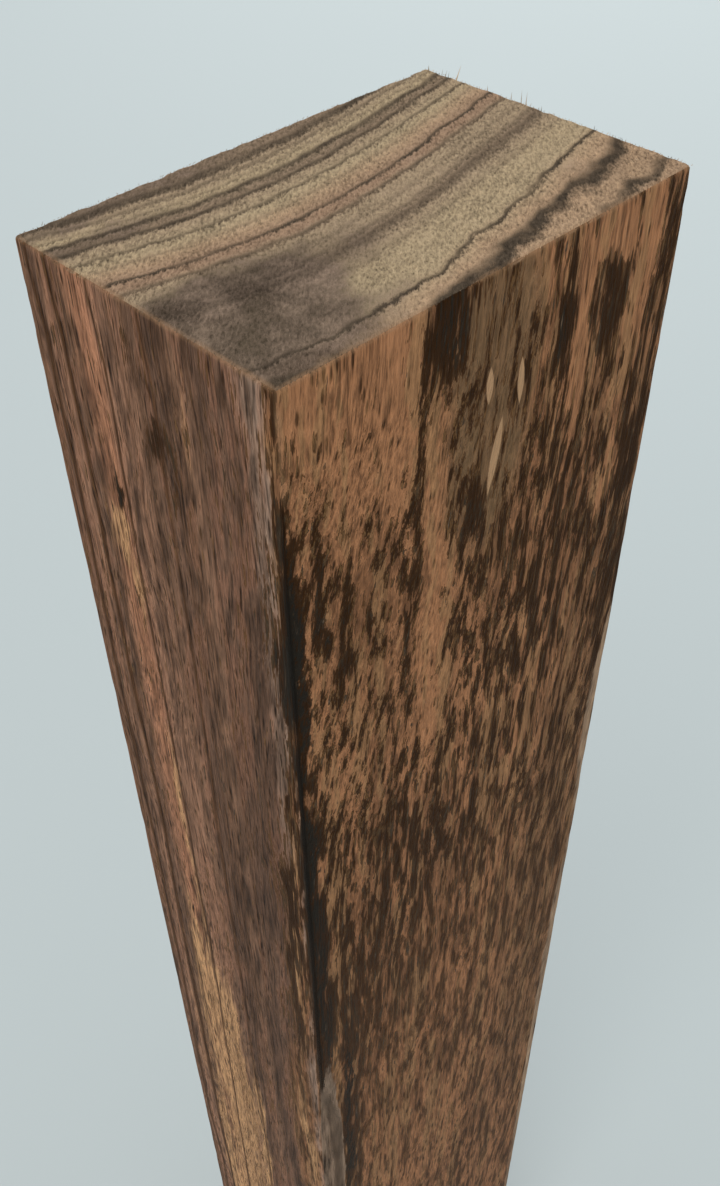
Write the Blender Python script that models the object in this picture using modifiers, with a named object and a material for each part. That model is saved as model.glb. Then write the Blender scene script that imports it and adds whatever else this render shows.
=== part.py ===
"""A sawn bocote blank: one straight stick of striped hardwood, cut square at both ends.

Metres, +Z up along the grain. The origin is the middle of the lower end, which the blank stands on.
X runs along the wide faces and Y along the narrow ones. A depth is measured down from the top end.
Run it from the text editor, or with blender --background --python part.py.
"""

from collections import namedtuple
from math import hypot

import bmesh
import bpy
from mathutils import Matrix, Vector, noise

INCH = 0.0254
MM = 0.001

# Driving sizes: a stock blank 2 inches wide, 1.3 inches thick and 12 inches long.
WIDTH = 2.0 * INCH
THICKNESS = 1.3 * INCH
LENGTH = 12.0 * INCH

# Rounding that handling has left on every arris.
EASED = 0.35 * MM
EASED_SEGMENTS = 2

# The long arrises that are torn, as signs of X and Y: the near one, the right one and the far one.
NEAR = (-1, -1)
RIGHT = (1, -1)
FAR = (1, 1)

# A tear is a stretch of arris that has split away along the grain and left a rough slope.
# on_wide and on_narrow are how far it reaches onto the wide and the narrow face.
Tear = namedtuple("Tear", "arris on_wide on_narrow top bottom fade")
TEARS = (
    Tear(NEAR, 3.4 * MM, 1.3 * MM, 97 * MM, 232 * MM, 30 * MM),
    Tear(RIGHT, 1.0 * MM, 0.16 * MM, 36 * MM, 48 * MM, 5 * MM),
    Tear(RIGHT, 2.1 * MM, 0.22 * MM, 54 * MM, 98 * MM, 16 * MM),
    Tear(RIGHT, 1.8 * MM, 0.20 * MM, 99 * MM, 251 * MM, 12 * MM),
    Tear(FAR, 1.6 * MM, 1.1 * MM, 148 * MM, 205 * MM, 14 * MM),
)
TEAR_STEP_ALONG = 3.0 * MM
TEAR_STEPS_ACROSS = 6
TEAR_ROUGHNESS = 0.16
TEAR_GRAIN_ACROSS = 0.9 * MM
TEAR_GRAIN_ALONG = 11.0 * MM
# Where a tear hasn't begun, its cutter stays this share of the full bite outside the arris.
TEAR_CLEARANCE = 0.25
CUTTER_REACH = 3.0 * MM

# A chip is a short notch where an arris has lost a splinter. Its place is in shares of the
# half width and the half thickness, then a depth, and its size is a length along each axis.
Chip = namedtuple("Chip", "x_share y_share depth size")
CHIPS = (
    Chip(1.0, -1.0, 3.4 * MM, (0.7 * MM, 0.7 * MM, 2.6 * MM)),
    Chip(-1.0, 1.0, 71.0 * MM, (0.5 * MM, 0.5 * MM, 7.0 * MM)),
    Chip(1.0, 1.0, 27.0 * MM, (1.2 * MM, 0.9 * MM, 9.0 * MM)),
    Chip(1.0, 0.84, 0.1 * MM, (0.9 * MM, 1.9 * MM, 1.4 * MM)),
    Chip(1.0, 0.31, 0.0 * MM, (0.8 * MM, 1.3 * MM, 1.2 * MM)),
    Chip(-0.48, 1.0, 0.0 * MM, (1.1 * MM, 0.6 * MM, 1.0 * MM)),
    Chip(1.0, 0.15, 304.6 * MM, (0.9 * MM, 2.1 * MM, 2.0 * MM)),
    Chip(-0.4, -1.0, 304.7 * MM, (2.4 * MM, 0.9 * MM, 1.7 * MM)),
)

WOOD_COLOUR = (0.20, 0.105, 0.055, 1.0)
WOOD_ROUGHNESS = 0.68


def clear_scene():
    """Starts from an empty scene."""
    for old in list(bpy.data.objects):
        bpy.data.objects.remove(old, do_unlink=True)


def new_collection(name):
    collection = bpy.data.collections.new(name)
    bpy.context.scene.collection.children.link(collection)
    return collection


def new_object(name, mesh_builder, collection):
    """Turns a bmesh into a named object of the collection."""
    mesh = bpy.data.meshes.new(name)
    mesh_builder.to_mesh(mesh)
    mesh_builder.free()
    made = bpy.data.objects.new(name, mesh)
    collection.objects.link(made)
    return made


def wood_material():
    material = bpy.data.materials.new("bocote")
    material.use_nodes = True
    shader = material.node_tree.nodes["Principled BSDF"]
    shader.inputs["Base Color"].default_value = WOOD_COLOUR
    shader.inputs["Roughness"].default_value = WOOD_ROUGHNESS
    shader.inputs["Metallic"].default_value = 0.0
    return material


def as_cutter(cutter):
    """A cutter is only drawn as wire, and is no part of the blank."""
    cutter.hide_render = True
    cutter.display_type = "WIRE"
    return cutter


def arris_point(arris, depth):
    """The point of a long arris that lies this far below the top end."""
    return Vector((arris[0] * WIDTH / 2, arris[1] * THICKNESS / 2, LENGTH - depth))


def smooth_step(share):
    share = min(max(share, 0.0), 1.0)
    return share * share * (3.0 - 2.0 * share)


def tear_bite(tear, depth, across):
    """How far inside the arris the torn surface lies, at a depth and a place across it."""
    full = 1.0 / hypot(1.0 / tear.on_wide, 1.0 / tear.on_narrow)
    opening = smooth_step((depth - tear.top) / tear.fade)
    closing = smooth_step((tear.bottom - depth) / tear.fade)
    grain = noise.noise(Vector((across / TEAR_GRAIN_ACROSS, tear.top / MM, depth / TEAR_GRAIN_ALONG)))
    present = opening * closing
    return full * (present * (1.0 + TEAR_ROUGHNESS * grain) - TEAR_CLEARANCE * (1.0 - present))


def tear_cutter(index, tear, collection):
    """A slab whose inner face is the torn surface. It leans across the arris and runs along it."""
    outward = Vector((tear.arris[0] / tear.on_wide, tear.arris[1] / tear.on_narrow, 0.0)).normalized()
    sideways = Vector((0.0, 0.0, 1.0)).cross(outward)
    half_across = hypot(tear.on_wide, tear.on_narrow)
    run = tear.bottom - tear.top
    steps_along = round(run / TEAR_STEP_ALONG)

    slab = bmesh.new()
    bmesh.ops.create_grid(slab, x_segments=TEAR_STEPS_ACROSS, y_segments=steps_along, size=1.0)
    middle = arris_point(tear.arris, (tear.top + tear.bottom) / 2)
    for vertex in slab.verts:
        across = vertex.co.x * half_across
        depth = (tear.top + tear.bottom) / 2 - vertex.co.y * run / 2
        bite = tear_bite(tear, depth, across)
        along = Vector((0.0, 0.0, vertex.co.y * run / 2))
        vertex.co = middle + sideways * across + along - outward * bite

    outer = bmesh.ops.extrude_face_region(slab, geom=slab.faces[:])["geom"]
    moved = [item for item in outer if isinstance(item, bmesh.types.BMVert)]
    bmesh.ops.translate(slab, verts=moved, vec=outward * CUTTER_REACH)
    bmesh.ops.recalc_face_normals(slab, faces=slab.faces[:])
    return as_cutter(new_object(f"tear_cutter_{index}", slab, collection))


def chip_cutter(index, chip, collection):
    """A small rough ball, drawn out along the grain, that bites a notch out of an edge."""
    ball = bmesh.new()
    bmesh.ops.create_icosphere(ball, subdivisions=2, radius=0.5, matrix=Matrix.Diagonal((*chip.size, 1.0)))
    cutter = as_cutter(new_object(f"chip_cutter_{index}", ball, collection))
    cutter.location = (
        chip.x_share * WIDTH / 2,
        chip.y_share * THICKNESS / 2,
        LENGTH - chip.depth,
    )
    return cutter


def blank_body(collection):
    """The sawn stick itself, standing on its lower end, with every arris a little rounded."""
    stick = bmesh.new()
    bmesh.ops.create_cube(stick, size=1.0)
    bmesh.ops.scale(stick, vec=(WIDTH, THICKNESS, LENGTH), verts=stick.verts[:])
    body = new_object("blank", stick, collection)
    body.location = (0.0, 0.0, LENGTH / 2)
    body.data.materials.append(wood_material())

    easing = body.modifiers.new("eased arrises", "BEVEL")
    easing.width = EASED
    easing.segments = EASED_SEGMENTS
    return body


def cut_away(body, cutters):
    """Takes the cutters' shapes out of the stick."""
    cut = body.modifiers.new("tears and chips", "BOOLEAN")
    cut.operation = "DIFFERENCE"
    cut.operand_type = "COLLECTION"
    cut.collection = cutters
    cut.solver = "EXACT"


def build():
    clear_scene()
    parts = new_collection("bocote_blank")
    cutters = new_collection("cutters")
    cutters.hide_render = True

    body = blank_body(parts)
    for index, tear in enumerate(TEARS):
        tear_cutter(index, tear, cutters)
    for index, chip in enumerate(CHIPS):
        chip_cutter(index, chip, cutters)
    cut_away(body, cutters)


build()
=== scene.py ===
"""The looks of a sawn bocote blank: its striped, mottled wood, rough end grain and loose fibres.

Everything is in metres in the frame of the solid model. Patterns are worked out in millimetres.
u runs along the wide face from the left arris, v from the back wide face to the front one,
and depth runs down from the top end.
"""

from math import radians

import bpy
import numpy as np
from mathutils import Euler, Matrix, Vector, noise

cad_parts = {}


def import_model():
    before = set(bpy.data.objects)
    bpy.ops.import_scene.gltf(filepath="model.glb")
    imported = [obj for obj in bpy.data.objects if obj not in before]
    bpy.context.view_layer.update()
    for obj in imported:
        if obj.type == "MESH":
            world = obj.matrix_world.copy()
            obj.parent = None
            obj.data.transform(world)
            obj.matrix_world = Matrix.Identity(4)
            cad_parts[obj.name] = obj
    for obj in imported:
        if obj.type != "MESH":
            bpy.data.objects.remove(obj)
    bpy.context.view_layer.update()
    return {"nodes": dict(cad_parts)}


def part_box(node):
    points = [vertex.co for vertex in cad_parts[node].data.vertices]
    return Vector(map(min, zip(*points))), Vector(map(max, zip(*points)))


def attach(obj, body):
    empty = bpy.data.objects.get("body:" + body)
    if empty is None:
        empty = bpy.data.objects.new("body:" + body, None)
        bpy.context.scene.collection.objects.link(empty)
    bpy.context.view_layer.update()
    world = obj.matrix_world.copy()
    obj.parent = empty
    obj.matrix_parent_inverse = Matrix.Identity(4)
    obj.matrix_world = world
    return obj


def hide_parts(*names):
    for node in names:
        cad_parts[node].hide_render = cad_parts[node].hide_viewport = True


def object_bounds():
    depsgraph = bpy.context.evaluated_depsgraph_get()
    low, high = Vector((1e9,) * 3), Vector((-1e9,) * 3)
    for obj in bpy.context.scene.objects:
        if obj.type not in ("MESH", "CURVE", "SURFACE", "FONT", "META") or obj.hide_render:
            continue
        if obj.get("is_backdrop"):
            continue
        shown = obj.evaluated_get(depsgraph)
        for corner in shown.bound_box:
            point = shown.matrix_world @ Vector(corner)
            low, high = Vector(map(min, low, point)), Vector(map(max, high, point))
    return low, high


MM = 0.001

# The camera of the photograph, seen from the blank's near top corner.
CAMERA_FROM_CORNER = Vector((-48.12, -57.84, 50.00)) * MM
CAMERA_TURN = radians(-44.09)
CAMERA_TILT = radians(45.02)
CAMERA_ROLL = radians(-0.858)
CAMERA_SENSOR = 36.0
CAMERA_LENS = 38.03
CAMERA_SHIFT_UP = 0.0396
CAMERA_NEAR = 0.005

# The studio: a pale floor, an even pale sky, and soft square lights. Each light has a name, a place,
# a point that it faces, a side, a power in watts and a colour.
FLOOR_SIDE = 12.0
FLOOR_COLOUR = (0.54, 0.60, 0.605, 1.0)
FLOOR_ROUGHNESS = 0.9
SKY_COLOUR = (0.97, 0.99, 1.0, 1.0)
SKY_STRENGTH = 0.65
LIGHTS = (
    ("softbox", (-0.95, -0.5, 1.4), (0.0, 0.0, 0.15), 0.9, 8.5, (1.0, 0.985, 0.96)),
    ("floor light", (1.2, 0.75, 1.3), (1.2, 0.75, 0.0), 1.2, 11.5, (0.98, 0.99, 1.0)),
)

# The skin is a lattice of this many steps along each axis, crowded towards the arrises and ends.
SKIN_STEPS = (124, 82, 180)
SKIN_CROWDING = (0.62, 0.55, 0.9)

# The map that the wood's colours are laid out on: the two faces in view get more room than the
# two behind them. Rooms are left, bottom, width and height for the left, right, front, back, foot
# and top.
MAP_NAME = "OFBake"
MAP_SIDE = 1024.0
MAP_ROOMS = (
    (406, 4, 260, 786),
    (884, 4, 136, 786),
    (4, 4, 398, 786),
    (670, 4, 210, 786),
    (644, 794, 376, 226),
    (4, 794, 636, 226),
)

# Wear, the reach of the painted edge highlight, and roughness, in millimetres.
DENT = 0.08
DENT_REACH = 1.6
EDGE_HIGHLIGHT_REACH = 0.6
WAVE = 0.04
END_PIT = 0.09
END_REACH = (0.4, 0.1)
TORN_RIDGE = 0.18
TORN_DEPTH = (0.25, 0.6)

# Near an arris, the painted edge highlight is full from this close, and so is the bite of the easing.
AT_ARRIS = 0.1

# How far the easing alone takes the skin off an arris, and how close to the arris.
EASED_BITE = 0.15
EASED_REACH = 0.45

# The short strokes of the end grain slant by this angle.
HATCH_ANGLE = radians(-45.0)

# Fuzz: short fibres that stand up from the sawn top end, shortest at its rim.
FUZZ_STEP = 0.36
FUZZ_JITTER = 0.45
FUZZ_SEED = 7
FUZZ_ROOT = 0.12
FUZZ_HEIGHT = (0.14, 0.30)
FUZZ_HALF_WIDTH = (0.03, 0.06)
FUZZ_AT_RIM = 0.55
FUZZ_RIM = (0.2, 0.9)
FUZZ_LEAN = (0.05, 0.02)
FUZZ_LEAN_SPREAD = 0.07
FUZZ_TINT = (0.85, 1.35)

# A fibre can be taller by up to this share. The higher the power, the fewer are much taller.
FUZZ_TALLER = 1.5
FUZZ_TALLER_POWER = 12

# Each fibre is a spike with three corners at its root and one at its tip.
SPIKE_SIDES = 3
SPIKE_CORNERS = 4
SPIKE_FACES = ((0, 1, 3), (1, 2, 3), (2, 0, 3))

# Long splinters at the edge of the top end: root u and v, lean along u and v, height, half width.
SPLINTERS = (
    (50.5, 4.4, 0.75, -0.05, 1.40, 0.085),
    (50.5, 11.7, 0.05, 0.00, 0.90, 0.050),
    (50.5, 13.0, 0.05, -0.05, 1.45, 0.050),
    (50.5, 13.6, 0.00, 0.08, 1.45, 0.055),
    (50.5, 8.6, 0.00, 0.00, 0.70, 0.050),
    (50.4, 15.6, 0.05, 0.00, 0.60, 0.050),
    (50.3, 0.7, 0.00, 0.00, 0.70, 0.050),
    (50.5, 2.4, 0.25, -0.10, 0.60, 0.035),
    (50.5, 2.9, 0.20, 0.05, 0.70, 0.035),
    (50.5, 3.3, 0.30, -0.15, 0.55, 0.035),
    (50.5, 22.0, 0.05, 0.00, 0.55, 0.045),
)


# The grain: where the rings, dark patches and stains lie in the solid wood.

# Growth rings are level lines of a field that is the distance from the back face under the crown
# of the rings, and that climbs to both sides. The crown drifts and sharpens towards the front.
CROWN_U = 21.4
CROWN_DRIFT = -0.258
CLIMB = 0.406
CLIMB_DRIFT = -0.007
KNEE = 31.6
KNEE_FADE = 18.1

# Towards the right, the waved rings near the front lie this much further back for each millimetre.
WAVED_TILT = 0.055
WAVED_FROM = (26.0, 29.0)
WAVED_TO = (31.0, 37.0)

# Over the first millimetres below the top end, the rings near the left face bend to the front.
LEFT_BEND = 0.8
LEFT_BEND_DEPTH = 9.0
LEFT_BEND_WIDTH = 12.0

# Noises: the size of their lumps along each axis, and a seed. Each step of the seed moves a noise
# off by SEED_STEPS.
SEED_STEPS = (7.3, 3.1, 5.7)
LUMP_OCTAVES = 3
RING_SWAY = ((16.0, 16.0, 85.0), 1.0)
RING_RIPPLE = ((3.4, 3.4, 26.0), 2.0)
FRONT_RIPPLE = ((3.2, 3.2, 16.0), 3.0)
WANDER = ((9.0, 9.0, 34.0), 4.0)
STRIPES = ((1.5, 1.5, 45.0), 14.0)
DENTS = ((1.8, 1.8, 5.0), 20.0)
WAVES = ((2.4, 2.4, 30.0), 21.0)
PITS = ((1.0, 1.0, 3.0), 22.0)
RIDGES = ((0.45, 0.45, 9.0), 23.0)

# How far the noises move the rings, and the depths or the v between which they set in.
SWAY = 0.7
SWAY_DEPTHS = (20.0, 70.0)
RIPPLE = 0.17
FRONT_RIPPLE_MORE = 0.42
FRONT_RIPPLE_FROM = (20.0, 28.0)

# How far the grain runs sideways for each millimetre down the front. On the left of the front it
# runs further, over a stretch that starts at one depth and has a length.
LEAN = 0.05
LEFT_LEAN = 0.17
LEFT_LEAN_DEPTH = 8.0
LEFT_LEAN_LENGTH = 50.0
LEFT_LEAN_U = (46.0, 2.0)
FRONT_SKIN = (32.3, 32.9)
WANDERING = 0.55

# The rims of the places below are ragged: lumps of this size move them this far along each axis.
RAGGED_LUMPS = (2.6, 2.6, 7.0)
RAGGED_SEEDS = (5.0, 6.0, 7.0)
RAGGED = (0.6, 0.6, 1.6)

# Soft oval places on the faces: where the middle is across and along the face, the half sizes,
# and an amount. Across is u on the wide faces and the ends, and v on the narrow faces. Along is
# the depth on the sides, and v on the ends.

# How dark the grain is there.
DARK_PLACES = {
    "front": (
        (9.0, 4, 8.5, 19, -0.9),
        (2.0, 4, 2.5, 7, -0.7),
        (12.5, 8, 3.6, 13, -0.5),
        (3.1, 24, 0.7, 12, 1.0),
        (6.2, 30, 0.8, 10, 0.8),
        (10.5, 20, 0.5, 5, 0.9),
        (9.6, 27, 0.5, 6, 0.8),
        (18.6, 1.5, 2.9, 9, 1.2),
        (16.0, 10, 0.7, 9, 0.6),
        (15.2, 20, 0.6, 9, 0.6),
        (14.2, 30, 0.6, 8, 0.5),
        (14.6, 38, 1.3, 7, 0.5),
        (26.0, 16, 4.5, 12, -0.4),
        (36.0, 38, 15.0, 22, 0.25),
        (44.0, 82, 10.0, 40, 0.15),
        (15.0, 82, 17.0, 36, 0.42),
        (44.4, 12, 1.8, 6, -0.35),
        (4.3, 130, 1.3, 34, 1.2),
        (17.0, 20, 1.6, 9, -1.2),
        (17.9, 36, 2.2, 28, -1.3),
        (23.3, 24, 2.3, 6, 0.8),
        (29.5, 2.5, 3.0, 5, -1.3),
        (35.5, 2.0, 1.6, 4, -0.6),
        (36.7, 11, 1.3, 14, -1.4),
        (40.0, 1.8, 4.6, 3.6, -1.3),
        (40.5, 9.5, 2.8, 7, 0.7),
        (44.5, 8, 0.8, 12, -1.2),
        (46.5, 5, 1.6, 7, -1.0),
        (33.6, 9, 1.3, 5, 0.9),
        (44.5, 31, 2.2, 5, -0.9),
        (43.4, 21, 0.8, 7, -0.8),
        (28.3, 22, 1.2, 6, -0.6),
        (9.5, 45, 5.5, 24, -0.2),
        (50.0, 30, 2.2, 40, 0.3),
        (47.5, 24, 1.4, 15, 0.4),
        (48.0, 48, 3.5, 26, 0.2),
        (42.5, 55, 1.5, 14, -0.5),
        (21.0, 100, 11.0, 22, -0.15),
        (21.0, 158, 15.0, 42, -0.35),
        (5.5, 118, 2.4, 34, 0.6),
        (0.3, 40, 1.1, 34, 1.5),
        (0.2, 84, 2.2, 42, 1.55),
        (20.0, 250, 9.0, 45, 0.5),
    ),
    "left": (
        (32.2, 12, 0.7, 6, 0.8),
        (32.8, 27, 1.2, 11, 1.1),
        (31.2, 33, 1.2, 6, 0.8),
        (30.4, 30, 1.8, 22, 0.5),
        (29.0, 62, 3.0, 24, 0.25),
        (29.6, 78, 2.4, 26, 0.2),
        (29.0, 98, 2.2, 9, 0.4),
        (28.6, 132, 3.0, 26, -0.15),
        (16.4, 12.5, 2.0, 3.6, 1.0),
        (18.6, 15, 1.2, 5, 0.8),
        (15.0, 6.5, 1.3, 2.6, 0.8),
        (26.0, 84, 4.0, 40, 0.15),
        (9.4, 21.5, 1.0, 1.4, 1.5),
    ),
    "back": (
        (12.0, 90, 5.0, 70, 0.6),
        (33.0, 190, 8.0, 90, 0.6),
        (41.0, 60, 4.0, 50, 0.5),
    ),
    "right": (
        (9.0, 200, 4.0, 80, 0.5),
        (24.0, 110, 5.0, 70, 0.5),
    ),
}

# Where the sides are mottled although the rings are cut across there.
MOTTLED_PLACES = {
    "left": (
        (32.8, 24, 1.6, 26, 1.0),
        (31.4, 58, 1.4, 16, 1.2),
        (30.0, 82, 2.2, 24, 1.2),
        (28.6, 130, 2.8, 36, 1.2),
    ),
    "back": ((25.0, 150, 24.0, 200, 0.6),),
    "right": ((31.5, 130, 4.5, 160, 1.0),),
}

# Where the wood is olive brown and low in contrast.
OLIVE_PLACES = {
    "front": (
        (24.5, 10, 6.8, 24, 1.1),
        (41.0, 15, 4.5, 15, 0.25),
        (49.6, 32, 2.6, 44, 0.3),
        (45.0, 110, 10.0, 80, 0.45),
    ),
    "left": ((15.5, 30, 3.0, 45, 0.4),),
    "back": ((38.0, 130, 8.0, 80, 0.6),),
}

# Where the wood is golden.
GOLD_PLACES = {
    "left": (
        (8.6, 27.5, 1.8, 4.6, 1.5),
        (10.2, 34.5, 1.1, 4.0, 0.7),
        (21.2, 9, 0.8, 10, 0.3),
        (30.6, 60, 1.0, 13, 0.6),
        (30.0, 80, 1.0, 12, 0.6),
        (28.8, 128, 1.5, 30, 0.6),
        (10.4, 78, 0.8, 26, 0.8),
        (8.2, 118, 1.8, 34, 1.0),
        (10.6, 122, 1.2, 36, 1.0),
        (13.4, 134, 2.4, 34, 0.8),
        (10.0, 142, 9.0, 50, 0.42),
        (10.0, 185, 7.0, 52, 0.9),
        (17.5, 160, 1.3, 40, 0.8),
    ),
    "right": ((14.0, 100, 4.0, 110, 0.6),),
    "back": ((22.0, 60, 4.0, 70, 0.4),),
}

# Where the end grain is stained grey.
STAIN_PLACES = {
    "top": (
        (5.0, 24.5, 10.8, 8.0, 1.0),
        (5.0, 19.0, 11.5, 3.6, 0.6),
        (5.0, 32.5, 10.0, 2.6, 0.6),
        (3.0, 29.5, 6.0, 3.0, 0.4),
        (15.0, 21.5, 9.0, 5.0, 0.45),
        (13.0, 29.5, 8.0, 2.4, 0.35),
        (0.0, 5.8, 16.0, 1.7, 0.5),
        (7.0, 1.2, 20.0, 1.7, 0.5),
        (43.0, 28.0, 5.0, 3.0, 0.25),
    ),
    "foot": ((36.0, 12.0, 15.0, 8.0, 0.8),),
}

# Where splinters have left bare pale wood, beyond the deep tears.
BARE_PLACES = {
    "front": (
        (50.8, 75, 2.0, 23, 0.25),
        (50.8, 150, 2.0, 58, 0.25),
        (0.9, 124, 1.8, 22, 0.25),
    ),
}

# How far a place reaches into the wood, and between which shares of its half sizes it fades.
REACH = 1.5
RIM = (1.15, 0.45)

# The front face is mottled up to about this far into the wood.
MOTTLED_SKIN = (1.5, 0.7)


def held(values):
    """Values held between 0 and 1."""
    return np.clip(values, 0.0, 1.0)


def smooth(value, start, end):
    """0 up to start and 1 past end, with a smooth slope between. It falls where end is below start."""
    share = held((value - start) / (end - start))
    return share * share * (3.0 - 2.0 * share)


def shift_of(seed):
    """How far a noise is moved off along each axis for its seed."""
    return [seed * step for step in SEED_STEPS]


def lumps(places, grain, seed):
    """Smooth noise about 0, mostly within 1, with lumps of the given size along each axis."""
    shift = Vector(shift_of(seed))
    spots = [Vector(place) + shift for place in places / grain]
    return np.array([2.0 * noise.fractal(spot, 1.0, 2.0, LUMP_OCTAVES) for spot in spots])


def spread(places, warp, size, table):
    """The sum of a table's soft places, each full in its middle and gone at its ragged rim."""
    u, v, depth = places.T
    near = {
        "left": u,
        "right": size[0] - u,
        "back": v,
        "front": size[1] - v,
        "top": depth,
        "foot": size[2] - depth,
    }
    u, v, depth = (places + warp).T
    seen = {"front": (u, depth), "back": (u, depth), "left": (v, depth), "right": (v, depth)}
    total = np.zeros(len(places))
    for face, spots in table.items():
        across, along = seen.get(face, (u, v))
        inward = near[face] / REACH
        for middle_across, middle_along, half_across, half_along, amount in spots:
            off = (across - middle_across) / half_across, (along - middle_along) / half_along
            total += amount * smooth(np.hypot(np.hypot(*off), inward), *RIM)
    return total


def into_wood(metres, low, high):
    """Places as u, v and depth in millimetres, from places in the frame."""
    return (metres - (low.x, high.y, high.z)) / (MM, -MM, -MM)


def out_of_wood(places, low, high):
    """Places in the frame, in metres, from u, v and depth."""
    return places * (MM, -MM, -MM) + (low.x, high.y, high.z)


def to_arris(places, size):
    """How far places on the skin are from the nearest arris."""
    inside = np.concatenate([places, size - places], axis=1)
    return np.sort(inside, axis=1)[:, 1]


def ring_field(places):
    """The field whose level lines are the growth rings."""
    u, v, depth = places.T
    crown = CROWN_U + CROWN_DRIFT * v
    climb = CLIMB + CLIMB_DRIFT * v
    knee = KNEE * np.exp(-v / KNEE_FADE)
    ring = v + climb * (np.hypot(u - crown, knee) - knee)
    waved = smooth(ring, *WAVED_FROM) * (1.0 - smooth(ring, *WAVED_TO))
    ring += WAVED_TILT * (u - CROWN_U) * waved
    ring -= LEFT_BEND * smooth(depth, 0.0, LEFT_BEND_DEPTH) * smooth(u, LEFT_BEND_WIDTH, 0.0)

    ring += lumps(places, *RING_SWAY) * SWAY * smooth(depth, *SWAY_DEPTHS)
    ring += lumps(places, *RING_RIPPLE) * RIPPLE
    ring += lumps(places, *FRONT_RIPPLE) * FRONT_RIPPLE_MORE * smooth(v, *FRONT_RIPPLE_FROM)
    return ring


def grain_drift(places):
    """How far the grain runs sideways: a slow wander, and a lean on the front, most on its left."""
    u, v, depth = places.T
    stretch = np.clip(depth - LEFT_LEAN_DEPTH, 0.0, LEFT_LEAN_LENGTH)
    lean = depth * LEAN + stretch * smooth(u, *LEFT_LEAN_U) * LEFT_LEAN
    return lean * smooth(v, *FRONT_SKIN) + lumps(places, *WANDER) * WANDERING


def paint(mesh, name, values):
    """Keeps a value for each vertex, for the material to read."""
    layer = mesh.attributes.new(name, "FLOAT", "POINT")
    layer.data.foreach_set("value", values.astype(np.float32))


def paint_grain(mesh, places, size, torn):
    """Paints the skin with where it lies in the grain."""
    lumpy = [lumps(places, RAGGED_LUMPS, seed) for seed in RAGGED_SEEDS]
    warp = np.stack(lumpy, 1) * RAGGED
    dark = spread(places, warp, size, DARK_PLACES)
    flat_sawn = smooth(size[1] - places[:, 1] + warp[:, 0] * 0.7, *MOTTLED_SKIN)
    at_arris = smooth(to_arris(places, size), EDGE_HIGHLIGHT_REACH, AT_ARRIS)

    paint(mesh, "u", places[:, 0])
    paint(mesh, "depth", places[:, 2])
    paint(mesh, "ring", ring_field(places))
    paint(mesh, "drift", grain_drift(places))
    paint(mesh, "stripe", lumps(places + warp, *STRIPES))
    paint(mesh, "dark", dark)
    paint(mesh, "mottled", held(flat_sawn + spread(places, warp, size, MOTTLED_PLACES)))
    # A painted highlight along the arrises, ragged and less over dark wood.
    paint(mesh, "edge_highlight", at_arris * held(0.6 + 0.6 * lumpy[1] - dark))
    for name, table in (("olive", OLIVE_PLACES), ("gold", GOLD_PLACES), ("stain", STAIN_PLACES)):
        paint(mesh, name, held(spread(places, warp, size, table)))
    paint(mesh, "torn", torn + spread(places, warp * 0.5, size, BARE_PLACES))


# Fields: arithmetic on shader nodes.

# Where a Mix node keeps its two colours and its result among its sockets.
MIX_UNDER = 6
MIX_OVER = 7
MIX_RESULT = 2


class Field:
    """A number at each point of the wood, worked out by shader nodes.

    Fields add, subtract, multiply and divide like numbers, so that a pattern reads as arithmetic.
    """

    tree = None

    def __init__(self, socket):
        self.socket = socket

    def __add__(self, other):
        return number("ADD", self, other)

    def __radd__(self, other):
        return number("ADD", other, self)

    def __sub__(self, other):
        return number("SUBTRACT", self, other)

    def __rsub__(self, other):
        return number("SUBTRACT", other, self)

    def __mul__(self, other):
        return number("MULTIPLY", self, other)

    def __truediv__(self, other):
        return number("DIVIDE", self, other)


def plug(socket, value):
    """Feeds a socket from a field, or sets it to a plain value."""
    if isinstance(value, Field):
        Field.tree.links.new(value.socket, socket)
    else:
        socket.default_value = value


def number(operation, *inputs):
    node = Field.tree.nodes.new("ShaderNodeMath")
    node.operation = operation
    for socket, value in zip(node.inputs, inputs):
        plug(socket, value)
    return Field(node.outputs[0])


def size_of(field):
    return number("ABSOLUTE", field)


def most(first, second):
    return number("MAXIMUM", first, second)


def least(first, second):
    return number("MINIMUM", first, second)


def rise(field, start, end):
    """0 up to start and 1 past end, with a smooth slope between. It falls where end is below start."""
    node = Field.tree.nodes.new("ShaderNodeMapRange")
    node.interpolation_type = "SMOOTHSTEP"
    plug(node.inputs["Value"], field)
    plug(node.inputs["From Min"], start)
    plug(node.inputs["From Max"], end)
    return Field(node.outputs["Result"])


def painted(name):
    """A value that the skin's vertices were painted with."""
    node = Field.tree.nodes.new("ShaderNodeAttribute")
    node.attribute_name = name
    return Field(node.outputs["Fac"])


def scaled(place, grain, seed):
    """A place measured in grains of the given size along each axis, moved off by the seed."""
    node = Field.tree.nodes.new("ShaderNodeMapping")
    plug(node.inputs["Vector"], place)
    node.inputs["Scale"].default_value = [1.0 / length for length in grain]
    node.inputs["Location"].default_value = shift_of(seed)
    return Field(node.outputs[0])


def grain_noise(place, grain, seed, detail, roughness):
    """Smooth noise about 0, mostly within a half, with lumps of the given size along each axis."""
    node = Field.tree.nodes.new("ShaderNodeTexNoise")
    plug(node.inputs["Vector"], scaled(place, grain, seed))
    node.normalize = False
    node.inputs["Scale"].default_value = 1.0
    node.inputs["Detail"].default_value = detail
    node.inputs["Roughness"].default_value = roughness
    return Field(node.outputs["Fac"])


def cells(place, grain, seed):
    """Distance to the nearest of many scattered seeds, in grains."""
    node = Field.tree.nodes.new("ShaderNodeTexVoronoi")
    plug(node.inputs["Vector"], scaled(place, grain, seed))
    node.inputs["Scale"].default_value = 1.0
    return Field(node.outputs["Distance"])


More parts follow.
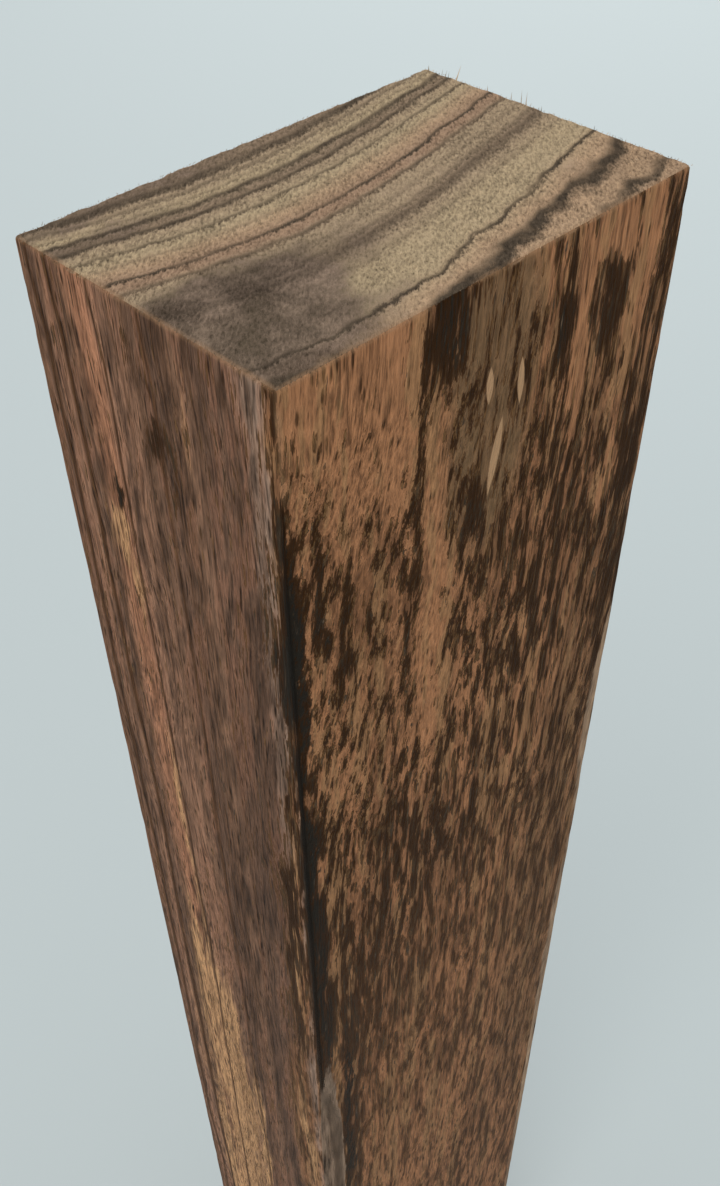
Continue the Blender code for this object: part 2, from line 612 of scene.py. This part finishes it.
def blend(under, over, amount):
    """One colour laid over another by an amount from 0 to 1."""
    node = Field.tree.nodes.new("ShaderNodeMix")
    node.data_type = "RGBA"
    plug(node.inputs["Factor"], amount)
    for place, colour in ((MIX_UNDER, under), (MIX_OVER, over)):
        plug(node.inputs[place], colour if isinstance(colour, Field) else (*colour, 1.0))
    return Field(node.outputs[MIX_RESULT])


def shade(colour, factor):
    """A colour made lighter or darker by a factor."""
    node = Field.tree.nodes.new("ShaderNodeVectorMath")
    node.operation = "SCALE"
    plug(node.inputs[0], colour)
    plug(node.inputs["Scale"], factor)
    return Field(node.outputs[0])


def ramp(field, stops):
    """Colours set at places along a field."""
    low, high = stops[0][0], stops[-1][0]
    node = Field.tree.nodes.new("ShaderNodeValToRGB")
    plug(node.inputs["Fac"], (field - low) / (high - low))
    elements = node.color_ramp.elements
    while len(elements) < len(stops):
        elements.new(1.0)
    for element, (place, colour) in zip(elements, stops):
        element.position = (place - low) / (high - low)
        element.color = (*colour, 1.0)
    return Field(node.outputs["Color"])


# The wood's material.

# Dark ring lines: place in the ring field, half width, softness of the edge, and strength in the
# end grain and on the sides.
RINGS = (
    (2.80, 0.30, 0.55, 0.80, 0.50),
    (4.29, 0.14, 0.38, 0.45, 0.95),
    (5.60, 0.03, 0.30, 0.30, 0.25),
    (6.88, 0.16, 0.42, 0.85, 1.00),
    (8.54, 0.14, 0.38, 0.85, 0.35),
    (10.75, 0.06, 0.35, 0.70, 0.25),
    (12.60, 0.08, 0.26, 0.25, 0.95),
    (15.16, 0.09, 0.30, 0.85, 0.35),
    (17.03, 0.08, 0.38, 0.65, 0.25),
    (19.20, 0.10, 0.38, 0.25, 0.85),
    (20.90, 0.05, 0.40, 0.45, 0.50),
    (22.00, 0.30, 0.80, 0.45, 0.30),
    (24.45, 0.03, 0.45, 0.25, 0.35),
    (27.20, 0.03, 0.40, 0.12, 0.30),
    (30.10, 0.10, 0.35, 0.90, 0.40),
    (33.44, 0.30, 0.90, 1.00, 0.60),
    (36.82, 0.25, 0.60, 0.90, 0.80),
    (40.30, 0.25, 0.60, 0.85, 0.80),
)
RINGS_IN_A_RAMP = 6
END_STRENGTH = 3
SIDE_STRENGTH = 4

# The few tones of the sawn end, and where the bands of each lie in the ring field.
END_SHADE = (0.19, 0.135, 0.09)
END_UMBER = (0.26, 0.17, 0.11)
END_OLIVE = (0.285, 0.21, 0.135)
END_PINK = (0.33, 0.222, 0.138)
END_PALE = (0.33, 0.25, 0.155)
END_TONES = (
    (0, END_SHADE),
    (2, END_SHADE),
    (4, END_OLIVE),
    (6, END_PALE),
    (7.7, END_SHADE),
    (9.2, END_OLIVE),
    (11.6, END_PALE),
    (13.6, END_PINK),
    (15, END_UMBER),
    (16.2, END_UMBER),
    (17.6, END_OLIVE),
    (20, END_OLIVE),
    (21.7, END_SHADE),
    (23.3, END_OLIVE),
    (25.4, END_PALE),
    (29, END_PALE),
    (32, END_PINK),
    (36, END_PINK),
    (42, END_UMBER),
)

# The few tones of the striped sides, and where the bands of each lie in the ring field.
SIDE_DEEP = (0.13, 0.07, 0.044)
SIDE_UMBER = (0.18, 0.096, 0.058)
SIDE_MAUVE = (0.24, 0.126, 0.077)
SIDE_SALMON = (0.325, 0.15, 0.083)
SIDE_GREY = (0.295, 0.19, 0.135)
LONG_TONES = (
    (0, SIDE_UMBER),
    (3, SIDE_MAUVE),
    (4.4, SIDE_DEEP),
    (5.5, SIDE_MAUVE),
    (6.5, SIDE_MAUVE),
    (7.5, SIDE_DEEP),
    (8.5, SIDE_UMBER),
    (10, SIDE_SALMON),
    (11.6, SIDE_SALMON),
    (12.6, SIDE_MAUVE),
    (16, SIDE_MAUVE),
    (17.5, SIDE_UMBER),
    (19, SIDE_DEEP),
    (21, SIDE_DEEP),
    (23, SIDE_UMBER),
    (25, SIDE_DEEP),
    (28.4, SIDE_DEEP),
    (30.5, SIDE_GREY),
    (32.5, SIDE_GREY),
    (34.5, SIDE_SALMON),
    (42, SIDE_MAUVE),
)

END_DARK = (0.056, 0.041, 0.028)
STAIN_GREY = (0.110, 0.078, 0.058)
RED_BROWN = (0.26, 0.118, 0.070)
ORANGE = (0.37, 0.170, 0.080)
ORANGE_DEEP = (0.240, 0.110, 0.052)
TAN = (0.33, 0.185, 0.085)
OLIVE_BROWN = (0.180, 0.106, 0.053)
GOLDEN = (0.56, 0.31, 0.15)
DARK_BROWN = (0.078, 0.034, 0.014)
NEAR_BLACK = (0.040, 0.0165, 0.0050)
# Tan streaks in the near-black wood: lighter fibres, and painted glints.
FIBRE_AND_GLINT_TAN = (0.200, 0.105, 0.044)
# The pale tan of the painted highlight along the arrises.
EDGE_HIGHLIGHT_TAN = (0.40, 0.235, 0.13)
COLD_BLACK = (0.016, 0.0155, 0.0125)
FLECK_PALE = (0.53, 0.315, 0.17)
TORN_TAN = (0.24, 0.165, 0.115)
TORN_PALE = (0.33, 0.215, 0.135)

# Pale spindle-shaped flecks on the mottled face: u, depth, half width, half height, lean.
FLECKS = (
    (24.0, 11.0, 0.50, 2.0, 0.0),
    (28.3, 12.4, 0.50, 2.6, 0.03),
    (25.4, 19.2, 0.62, 4.4, -0.16),
)
FLECK_RIM = (1.05, 0.75)

# Noises of the material: the size of their lumps along each axis, seed, detail and roughness.
PATCHES = ((4.0, 4.0, 26.0), 8.0, 2.0, 0.6)
SPECKLE = ((0.62, 0.27, 2.5), 9.0, 2.0, 0.75)
COARSE = ((1.0, 1.0, 11.0), 10.0, 2.0, 0.6)
STREAKS = ((0.32, 0.32, 5.6), 12.0, 3.0, 0.66)

# The cells that hold the pores: their size along each axis, and a seed. Distances are in cells.
PORE_CELLS = ((0.65, 0.65, 3.8), 13.0)
CELL_MIDDLE = 0.55
PORE_SIZE = (0.30, 0.12)

# How far the noises move the ring lines and the bands.
END_WAVER = 0.22
BAND_WAVER = 0.3
LINE_WAVER = 0.14

# How bright the end, the striped tones and the whole sides are before noise is added.
END_BRIGHTNESS = 1.33
TONE_BRIGHTNESS = 1.22
SIDE_BRIGHTNESS = 0.72

# The levels between which a tone sets in, and the most that there is of it.
BROWN_FROM = (-0.12, 0.08)
BLACK_FROM = (0.0, 0.55)
COLD_FROM = (1.0, 2.0)
COLD_MOST = 0.85
GOLD_FROM = (0.1, 0.95)
GOLD_MOST = 0.85
OLIVE_MOST = 0.85
STAIN_MOST = 0.9
TORN_FROM = (0.04, 0.12)
TORN_MOST = 0.9
EDGE_HIGHLIGHT_MOST = 0.5
PORES_MOST = 0.8
END_LINES_MOST = 0.95

# Striped grain is this much less dark than mottled grain.
STRIPES_LIGHTER = 0.62

# The mottled face loses up to this share of its contrast between two depths.
SOFTER = 0.35
SOFTER_DEPTHS = (50.0, 115.0)

# Torn wood is tan on the left and pale on the right, and turns from one to the other here.
TORN_PALE_U = (20.0, 30.0)

# Relief of the material, in millimetres, and its finish.
SPECKLE_HEIGHT = 0.09
STREAK_HEIGHT = 0.09
PORE_DEPTH = 0.08
SIDE_ROUGHNESS = 0.55
END_ROUGHNESS = 0.85
SPECULAR = 0.03

# How far up or down a face must look to count as an end.
END_FACING = (0.55, 0.8)


class Wood:
    """The wood's own places, in millimetres, and the noises that its patterns share."""

    def __init__(self):
        coordinates = Field.tree.nodes.new("ShaderNodeTexCoord")
        self.place = shade(Field(coordinates.outputs["Object"]), 1.0 / MM)
        sideways = Field.tree.nodes.new("ShaderNodeCombineXYZ")
        plug(sideways.inputs["X"], painted("drift"))
        plug(sideways.inputs["Y"], painted("drift"))
        along_grain = Field.tree.nodes.new("ShaderNodeVectorMath")
        plug(along_grain.inputs[0], self.place)
        plug(along_grain.inputs[1], Field(sideways.outputs[0]))
        self.grain_place = Field(along_grain.outputs[0])
        self.ring = painted("ring")
        self.u = painted("u")
        self.depth = painted("depth")
        self.patches = grain_noise(self.place, *PATCHES)


def ring_lines(ring, strength_place):
    """How dark the ring lines are at each point."""
    lines = None
    for first in range(0, len(RINGS), RINGS_IN_A_RAMP):
        stops = []
        for line in RINGS[first : first + RINGS_IN_A_RAMP]:
            middle, half_width, soft = line[:3]
            strength = line[strength_place]
            rim = half_width + soft
            profile = ((-rim, 0.0), (-half_width, strength), (half_width, strength), (rim, 0.0))
            stops += [(middle + offset, (level,) * 3) for offset, level in profile]
        stops.sort()
        group = ramp(ring, stops)
        lines = group if lines is None else most(lines, group)
    return lines


def flecks(wood):
    """Where the pale flecks of the front face are."""
    amount = None
    for u, depth, half_wide, half_tall, lean in FLECKS:
        down = (wood.depth - depth) / half_tall
        across = size_of(wood.u - u - down * (lean * half_tall)) / half_wide
        fleck = across + down * down
        amount = fleck if amount is None else least(amount, fleck)
    return rise(amount, *FLECK_RIM)


def end_grain(wood):
    """Colour and height of the sawn end: tan and olive, with dark ring lines and a slanting hatch."""
    slanting = Field.tree.nodes.new("ShaderNodeVectorRotate")
    slanting.rotation_type = "Z_AXIS"
    slanting.inputs["Angle"].default_value = HATCH_ANGLE
    plug(slanting.inputs["Vector"], wood.place)
    speckle = grain_noise(Field(slanting.outputs[0]), *SPECKLE)
    ring = wood.ring + speckle * END_WAVER
    colour = ramp(ring, END_TONES)
    stain = rise(painted("stain") + wood.patches * 0.4 + speckle * 0.2, 0.0, 1.0)
    colour = blend(colour, STAIN_GREY, stain * STAIN_MOST)
    lines = ring_lines(ring, END_STRENGTH) * (END_LINES_MOST + wood.patches * 0.4)
    colour = blend(colour, END_DARK, lines)
    colour = shade(colour, END_BRIGHTNESS + speckle * 0.65 + wood.patches * (0.25 + stain * 0.7))
    return colour, speckle * SPECKLE_HEIGHT


def light_grain(wood, streak, stripe, mottled, dark):
    """The lighter tones of the sides: bands where striped, orange and olive where mottled, and gold."""
    tone = ramp(wood.ring + streak * BAND_WAVER, LONG_TONES)
    tone = shade(tone, TONE_BRIGHTNESS + stripe * 0.5 + wood.patches * 0.3)
    tone = blend(tone, RED_BROWN, rise(stripe + wood.patches, 0.0, 0.6) * 0.4)
    orange = blend(ORANGE_DEEP, ORANGE, rise(wood.patches + streak - dark * 0.5, -0.7, 0.5))
    orange = blend(orange, TAN, rise(stripe, 0.0, 0.6) * 0.5)
    orange = blend(orange, OLIVE_BROWN, painted("olive") * OLIVE_MOST)
    colour = blend(tone, orange, mottled)
    golden = rise(painted("gold") * (1.0 + streak * 0.4 + stripe * 0.4), *GOLD_FROM)
    return blend(colour, GOLDEN, golden * GOLD_MOST)


def long_grain(wood):
    """Colour and height of the sawn sides: striped where the rings are cut across, else mottled."""
    mottled = painted("mottled")
    stripe = painted("stripe")
    coarse = grain_noise(wood.grain_place, *COARSE)
    streak = grain_noise(wood.grain_place, *STREAKS)
    cell = cells(wood.grain_place, *PORE_CELLS)
    pores = rise(cell, *PORE_SIZE)

    stripes = streak * 1.1 + wood.patches * 0.4 + stripe * 0.2 - STRIPES_LIGHTER
    mottle = coarse * 1.5 + streak * 1.05 + (CELL_MIDDLE - cell) * 1.1
    dark = painted("dark")
    darkness = stripes + (mottle - stripes) * mottled + dark

    colour = light_grain(wood, streak, stripe, mottled, dark)
    lines = ring_lines(wood.ring + streak * LINE_WAVER, SIDE_STRENGTH) * (1.0 - mottled)
    soft = 1.0 - rise(wood.depth, *SOFTER_DEPTHS) * mottled * SOFTER
    colour = blend(colour, DARK_BROWN, most(rise(darkness, *BROWN_FROM) * soft, lines))
    # The near-black wood, streaked with tan: lighter fibres, and painted glints.
    black = blend(NEAR_BLACK, FIBRE_AND_GLINT_TAN, rise(streak - darkness * 0.2, 0.0, 0.45) * 0.7)
    colour = blend(colour, black, most(rise(darkness, *BLACK_FROM) * soft, pores * PORES_MOST))
    colour = shade(colour, SIDE_BRIGHTNESS + soft * 0.40 + streak * (0.9 - mottled * 0.4))
    colour = blend(colour, COLD_BLACK, rise(dark + streak * 2.2, *COLD_FROM) * COLD_MOST)
    colour = blend(colour, FLECK_PALE, flecks(wood) * mottled)

    torn = blend(TORN_TAN, TORN_PALE, rise(wood.u, *TORN_PALE_U))
    torn = shade(torn, 1.0 + stripe * 0.4 + streak * 0.5)
    colour = blend(colour, torn, rise(painted("torn") + streak * 0.06, *TORN_FROM) * TORN_MOST)
    return colour, streak * STREAK_HEIGHT - pores * PORE_DEPTH


def wood_material():
    """Sawn end grain where the wood looks up or down, long grain elsewhere, and a painted highlight
    along the arrises.
    """
    material = bpy.data.materials.new("bocote")
    material.use_nodes = True
    Field.tree = material.node_tree
    shader = Field.tree.nodes["Principled BSDF"]
    wood = Wood()

    end_colour, end_height = end_grain(wood)
    long_colour, long_height = long_grain(wood)
    geometry = Field.tree.nodes.new("ShaderNodeNewGeometry")
    split = Field.tree.nodes.new("ShaderNodeSeparateXYZ")
    Field.tree.links.new(geometry.outputs["True Normal"], split.inputs[0])
    on_end = rise(size_of(Field(split.outputs["Z"])), *END_FACING)

    colour = blend(long_colour, end_colour, on_end)
    # The arrises are painted paler: a painted highlight along the edges.
    plug(shader.inputs["Base Color"], blend(colour, EDGE_HIGHLIGHT_TAN, painted("edge_highlight") * EDGE_HIGHLIGHT_MOST))
    plug(shader.inputs["Roughness"], SIDE_ROUGHNESS + on_end * (END_ROUGHNESS - SIDE_ROUGHNESS))
    shader.inputs["Specular IOR Level"].default_value = SPECULAR
    bump = Field.tree.nodes.new("ShaderNodeBump")
    bump.inputs["Distance"].default_value = MM
    plug(bump.inputs["Height"], long_height + (end_height - long_height) * on_end)
    Field.tree.links.new(bump.outputs["Normal"], shader.inputs["Normal"])
    return material


def fibre_material():
    """The end grain's colours, a little lighter or darker on each fibre."""
    material = bpy.data.materials.new("bocote fibres")
    material.use_nodes = True
    Field.tree = material.node_tree
    shader = Field.tree.nodes["Principled BSDF"]
    colour, _ = end_grain(Wood())
    plug(shader.inputs["Base Color"], shade(colour, painted("tint")))
    shader.inputs["Roughness"].default_value = END_ROUGHNESS
    shader.inputs["Specular IOR Level"].default_value = SPECULAR
    return material


# The blank's skin.


def crowded(low, high, steps, crowding):
    """Stations from low to high, closer together towards both ends."""
    share = np.linspace(-1.0, 1.0, steps + 1)
    share = share + crowding * np.sin(np.pi * share) / np.pi
    return (low + high) / 2 + share * (high - low) / 2


def new_piece(name, places, faces):
    """A smooth-shaded mesh object from arrays of vertex places and faces."""
    mesh = bpy.data.meshes.new(name)
    mesh.from_pydata(places.tolist(), [], faces.tolist())
    mesh.shade_smooth()
    piece = bpy.data.objects.new(name, mesh)
    bpy.context.scene.collection.objects.link(piece)
    return piece


def lattice_skin(name, low, high):
    """A closed box skin of fine quads between two corners."""
    stations = [crowded(low[i], high[i], SKIN_STEPS[i], SKIN_CROWDING[i]) for i in range(3)]
    shape = [len(line) for line in stations]
    on_skin = np.ones(shape, bool)
    on_skin[1:-1, 1:-1, 1:-1] = False
    number_of = np.cumsum(on_skin).reshape(shape) - 1
    places = np.stack(np.meshgrid(*stations, indexing="ij"), -1)[on_skin]

    quads = []
    on_map = []
    rooms = iter(MAP_ROOMS)
    for axis in range(3):
        in_sheet = [i for i in range(3) if i != axis]
        for end in (0, -1):
            sheet = number_of.take(end, axis)
            corners = [sheet[:-1, :-1], sheet[1:, :-1], sheet[1:, 1:], sheet[:-1, 1:]]
            if (end == 0) != (axis == 1):
                corners.reverse()
            quads.append(np.stack(corners, -1).reshape(-1, 4))
            shares = ((places - low) / (high - low))[quads[-1].ravel()][:, in_sheet]
            x, y, wide, tall = next(rooms)
            on_map.append((shares * (wide, tall) + (x, y)) / MAP_SIDE)

    skin = new_piece(name, places, np.concatenate(quads))
    layer = skin.data.uv_layers.new(name=MAP_NAME)
    layer.uv.foreach_set("vector", np.concatenate(on_map).ravel())
    return skin


def vertex_places(mesh):
    places = np.empty(3 * len(mesh.vertices))
    mesh.vertices.foreach_get("co", places)
    return places.reshape(-1, 3)


def pulled_onto(skin, solid):
    """Lays the skin on the solid, so that it follows the tears and chips of the arrises."""
    wrap = skin.modifiers.new("onto the solid", "SHRINKWRAP")
    wrap.target = solid
    wrap.wrap_method = "NEAREST_SURFACEPOINT"
    shaped = skin.evaluated_get(bpy.context.evaluated_depsgraph_get())
    skin.data = bpy.data.meshes.new_from_object(shaped)
    skin.modifiers.clear()


def roughen(skin, places, size, torn):
    """Moves the skin a little into the wood: dented arrises, rough ends, wavy sides and torn ridges."""
    depth = places[:, 2]
    near_arris = smooth(to_arris(places, size), DENT_REACH, 0.0)
    on_end = smooth(np.minimum(depth, size[2] - depth), *END_REACH)
    dents = held(lumps(places, *DENTS)) * near_arris * DENT
    waves = held(0.5 + 0.5 * lumps(places, *WAVES)) * WAVE
    pits = held(0.5 + 0.5 * lumps(places, *PITS)) * END_PIT
    ridges = held(0.5 + 0.7 * lumps(places, *RIDGES)) * TORN_RIDGE
    inward = dents + waves + (pits - waves) * on_end + ridges * smooth(torn, *TORN_DEPTH)

    normals = np.empty(3 * len(places))
    skin.data.vertex_normals.foreach_get("vector", normals)
    moved = vertex_places(skin.data) - normals.reshape(-1, 3) * (inward * MM)[:, None]
    skin.data.vertices.foreach_set("co", moved.ravel())
    skin.data.update()


def wood_skin(low, high, solid):
    """The wood's skin, which knows how deep the solid is torn below the ideal square blank."""
    skin = lattice_skin("blank_wood", low, high)
    ideal = into_wood(vertex_places(skin.data), low, high)
    pulled_onto(skin, solid)
    places = into_wood(vertex_places(skin.data), low, high)
    size = np.array(high - low) / MM
    torn = np.linalg.norm(places - ideal, axis=1)
    torn -= EASED_BITE * smooth(to_arris(ideal, size), EASED_REACH, AT_ARRIS)
    paint_grain(skin.data, places, size, torn)
    roughen(skin, places, size, torn)
    skin.data.materials.append(wood_material())
    return skin


# Loose fibres.


def fuzz(dice, wide, thick):
    """Roots, leans, heights and half widths of short fibres that stand all over the top end."""
    count_u, count_v = round(wide / FUZZ_STEP), round(thick / FUZZ_STEP)
    u, v = np.meshgrid(np.arange(count_u) + 0.5, np.arange(count_v) + 0.5, indexing="ij")
    count = u.size
    depth = np.full(count, FUZZ_ROOT)
    roots = np.stack([u.ravel() * wide / count_u, v.ravel() * thick / count_v, depth], 1)
    roots[:, :2] += dice.uniform(-FUZZ_JITTER, FUZZ_JITTER, (count, 2)) * FUZZ_STEP
    lean = dice.normal(0.0, FUZZ_LEAN_SPREAD, (count, 2)) + FUZZ_LEAN
    to_rim = np.stack([roots[:, 0], wide - roots[:, 0], roots[:, 1], thick - roots[:, 1]]).min(axis=0)
    height = dice.uniform(*FUZZ_HEIGHT, count)
    height *= 1.0 + FUZZ_TALLER * dice.random(count) ** FUZZ_TALLER_POWER
    height *= FUZZ_AT_RIM + (1.0 - FUZZ_AT_RIM) * smooth(to_rim, *FUZZ_RIM)
    half_wide = dice.uniform(*FUZZ_HALF_WIDTH, count)
    return roots, lean, height, half_wide


def end_fibres(low, high):
    """The fuzz on the top end, and the splinters at its edge."""
    size = (high - low) / MM
    wide, thick = size[:2]
    dice = np.random.default_rng(FUZZ_SEED)
    roots, lean, height, half_wide = fuzz(dice, wide, thick)

    splinters = np.array(SPLINTERS)
    roots = np.concatenate([roots, np.insert(splinters[:, :2], 2, FUZZ_ROOT, axis=1)])
    lean = np.concatenate([lean, splinters[:, 2:4]])
    height = np.concatenate([height, splinters[:, 4]])
    half_wide = np.concatenate([half_wide, splinters[:, 5]])
    count = len(roots)

    turn = dice.uniform(0.0, 2.0 * np.pi, (count, 1))
    turn = turn + np.arange(SPIKE_SIDES) * 2.0 * np.pi / SPIKE_SIDES
    ring = np.stack([np.cos(turn), np.sin(turn), np.zeros_like(turn)], 2) * half_wide[:, None, None]
    tips = roots + np.column_stack([lean, -height])
    corners = np.concatenate([roots[:, None] + ring, tips[:, None]], 1)
    faces = np.arange(count)[:, None, None] * SPIKE_CORNERS + np.array(SPIKE_FACES)

    places = out_of_wood(corners.reshape(-1, 3), low, high)
    fibres = new_piece("end_fibres", places, faces.reshape(-1, 3))
    unwarped = np.zeros_like(roots)
    stain = held(spread(roots, unwarped, size, STAIN_PLACES))
    tint = dice.uniform(*FUZZ_TINT, count)
    for name, values in (("ring", ring_field(roots)), ("stain", stain), ("tint", tint)):
        paint(fibres.data, name, np.repeat(values, SPIKE_CORNERS))
    shares = corners[:, :, :2] / (wide, thick)
    layer = fibres.data.uv_layers.new(name=MAP_NAME)
    on_map = np.clip(shares.reshape(-1, 2), 0.0, 1.0)[faces.ravel()]
    layer.uv.foreach_set("vector", on_map.ravel())
    fibres.data.materials.append(fibre_material())
    return fibres


# Setting.


def add_camera(corner):
    camera = bpy.data.objects.new("camera", bpy.data.cameras.new("camera"))
    bpy.context.scene.collection.objects.link(camera)
    turned = Euler((CAMERA_TILT, 0.0, CAMERA_TURN)).to_matrix() @ Matrix.Rotation(CAMERA_ROLL, 3, "Z")
    camera.matrix_world = Matrix.Translation(corner + CAMERA_FROM_CORNER) @ turned.to_4x4()
    camera.data.sensor_width = CAMERA_SENSOR
    camera.data.lens = CAMERA_LENS
    camera.data.shift_y = CAMERA_SHIFT_UP
    camera.data.clip_start = CAMERA_NEAR
    bpy.context.scene.camera = camera


def add_floor():
    bpy.ops.mesh.primitive_plane_add(size=FLOOR_SIDE)
    floor = bpy.context.object
    floor.name = "floor"
    material = bpy.data.materials.new("pale floor")
    material.use_nodes = True
    shader = material.node_tree.nodes["Principled BSDF"]
    shader.inputs["Base Color"].default_value = FLOOR_COLOUR
    shader.inputs["Roughness"].default_value = FLOOR_ROUGHNESS
    floor.data.materials.append(material)
    floor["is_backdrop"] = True


def add_light(name, place, target, side, watts, colour):
    light = bpy.data.objects.new(name, bpy.data.lights.new(name, "AREA"))
    bpy.context.scene.collection.objects.link(light)
    light.location = place
    light.rotation_euler = (Vector(target) - Vector(place)).to_track_quat("-Z", "Y").to_euler()
    light.data.size = side
    light.data.energy = watts
    light.data.color = colour


def add_world():
    world = bpy.data.worlds.new("studio")
    world.use_nodes = True
    background = world.node_tree.nodes["Background"]
    background.inputs["Color"].default_value = SKY_COLOUR
    background.inputs["Strength"].default_value = SKY_STRENGTH
    bpy.context.scene.world = world


def main():
    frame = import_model()

    low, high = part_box("blank")
    add_camera(Vector((low.x, low.y, high.z)))
    add_floor()
    add_world()
    for light in LIGHTS:
        add_light(*light)

    skin = wood_skin(low, high, frame["nodes"]["blank"])
    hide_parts("blank")
    for piece in (skin, end_fibres(low, high)):
        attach(piece, "root")

    bpy.context.scene.view_settings.view_transform = "Standard"
    low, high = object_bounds()


main()
